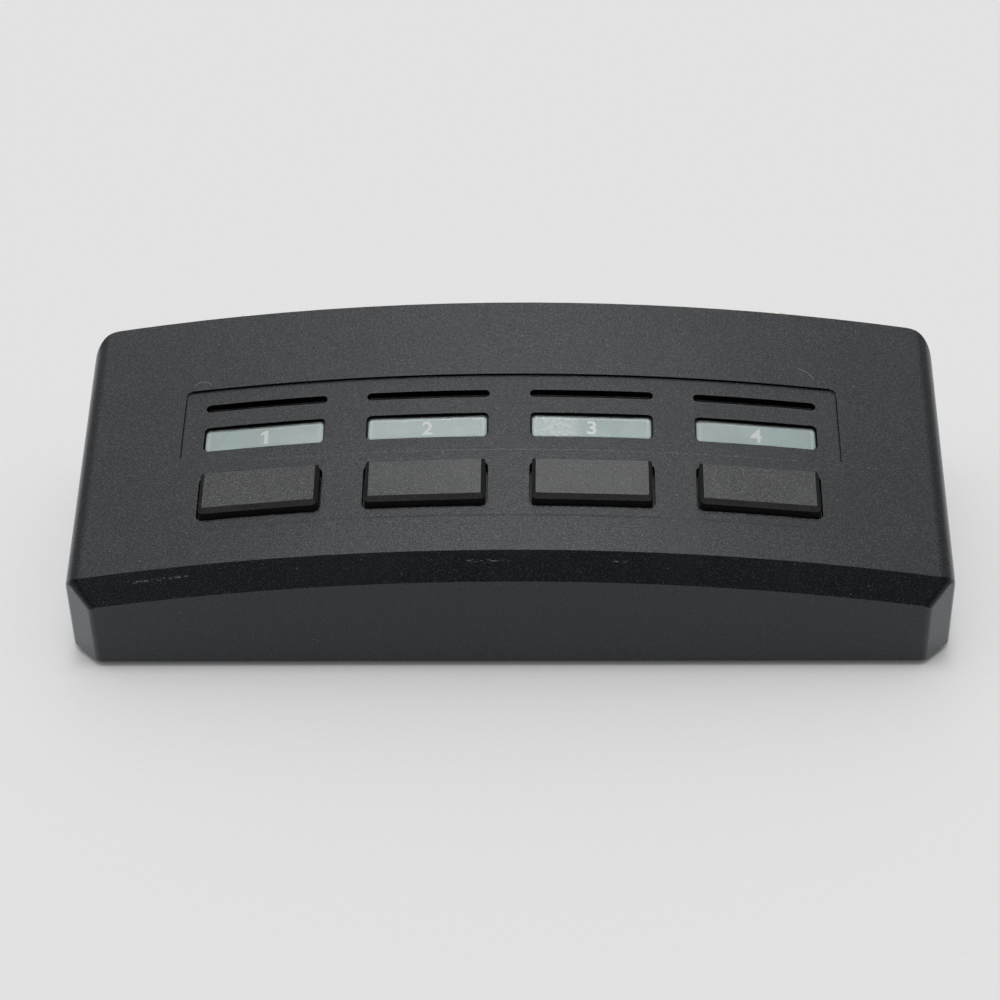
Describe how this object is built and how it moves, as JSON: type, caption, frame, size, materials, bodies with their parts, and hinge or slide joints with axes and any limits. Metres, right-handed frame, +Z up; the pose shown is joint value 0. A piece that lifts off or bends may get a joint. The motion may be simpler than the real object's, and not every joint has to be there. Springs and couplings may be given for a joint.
{
  "type": "audio video selector switch",
  "caption": "Sloping audio video selector box with interlocking push buttons, label windows and phono jacks along the back.",
  "frame": {"origin": "on the ground under the middle of the footprint, jacks included", "axes": "+X to the right along the front, +Y from the front to the back, +Z up"},
  "size_m": [0.2, 0.084, 0.047],
  "materials": {
    "case_plastic": "fine moulded grain",
    "dark_plastic": "satin black",
    "button_plastic": "satin grey",
    "clear_plastic": "clear and smooth",
    "label_card": "printed card",
    "board": "laminate",
    "bare_steel": "bright stamped sheet and wire",
    "plunger_plastic": "natural acetal",
    "plated_metal": "bright plating",
    "yellow_plastic": "gloss",
    "white_plastic": "gloss",
    "red_plastic": "gloss",
    "contact_metal": "plain",
    "foot_rubber": "matt",
    "screw_steel": "zinc plated"
  },
  "bodies": {
    "case": {"top_cover": "case_plastic", "bottom_cover": "dark_plastic", "rear_panel": "dark_plastic", "window_lens_1": "clear_plastic", "label_card_1": "label_card", "switch_housing_1": "dark_plastic", "return_spring_1": "bare_steel", "foot_1": "foot_rubber", "window_lens_2": "clear_plastic", "label_card_2": "label_card", "switch_housing_2": "dark_plastic", "return_spring_2": "bare_steel", "foot_2": "foot_rubber", "window_lens_3": "clear_plastic", "label_card_3": "label_card", "switch_housing_3": "dark_plastic", "return_spring_3": "bare_steel", "foot_3": "foot_rubber", "window_lens_4": "clear_plastic", "label_card_4": "label_card", "switch_housing_4": "dark_plastic", "return_spring_4": "bare_steel", "foot_4": "foot_rubber", "main_board": "board", "switch_frame": "bare_steel", "latch_spring": "bare_steel", "jack_block_1": "dark_plastic", "jack_shells_1": "plated_metal", "jack_contacts_1": "contact_metal", "jack_block_2": "dark_plastic", "jack_shells_2": "plated_metal", "jack_contacts_2": "contact_metal", "jack_block_3": "dark_plastic", "jack_shells_3": "plated_metal", "jack_contacts_3": "contact_metal", "jack_block_4": "dark_plastic", "jack_shells_4": "plated_metal", "jack_contacts_4": "contact_metal", "jack_block_5": "dark_plastic", "jack_shells_5": "plated_metal", "jack_contacts_5": "contact_metal", "jack_inserts_yellow": "yellow_plastic", "jack_inserts_white": "white_plastic", "jack_inserts_red": "red_plastic", "case_screws": "screw_steel", "board_screws": "screw_steel"},
    "button_1_body": {"button_1": "button_plastic", "plunger_1": "plunger_plastic"},
    "button_2_body": {"button_2": "button_plastic", "plunger_2": "plunger_plastic"},
    "button_3_body": {"button_3": "button_plastic", "plunger_3": "plunger_plastic"},
    "button_4_body": {"button_4": "button_plastic", "plunger_4": "plunger_plastic"},
    "latch_body": {"latch_bar": "bare_steel"}
  },
  "joints": [
    {"name": "button_1_press", "type": "slide", "parent": "case", "child": "button_1_body", "axis": [0, 0, -1], "range_m": [0, 0.002], "stiffness_N_per_m": 450, "springref_m": -0.002, "deforming": ["return_spring_1"]},
    {"name": "button_2_press", "type": "slide", "parent": "case", "child": "button_2_body", "axis": [0, 0, -1], "range_m": [0, 0.002], "stiffness_N_per_m": 450, "springref_m": -0.002, "deforming": ["return_spring_2"]},
    {"name": "button_3_press", "type": "slide", "parent": "case", "child": "button_3_body", "axis": [0, 0, -1], "range_m": [0, 0.002], "stiffness_N_per_m": 450, "springref_m": -0.002, "deforming": ["return_spring_3"]},
    {"name": "button_4_press", "type": "slide", "parent": "case", "child": "button_4_body", "axis": [0, 0, -1], "range_m": [0, 0.002], "stiffness_N_per_m": 450, "springref_m": -0.002, "deforming": ["return_spring_4"]},
    {"name": "latch_slide", "type": "slide", "parent": "case", "child": "latch_body", "axis": [1, 0, 0], "range_m": [0, 0.0015], "stiffness_N_per_m": 200, "springref_m": -0.001, "deforming": ["latch_spring"]}
  ]
}
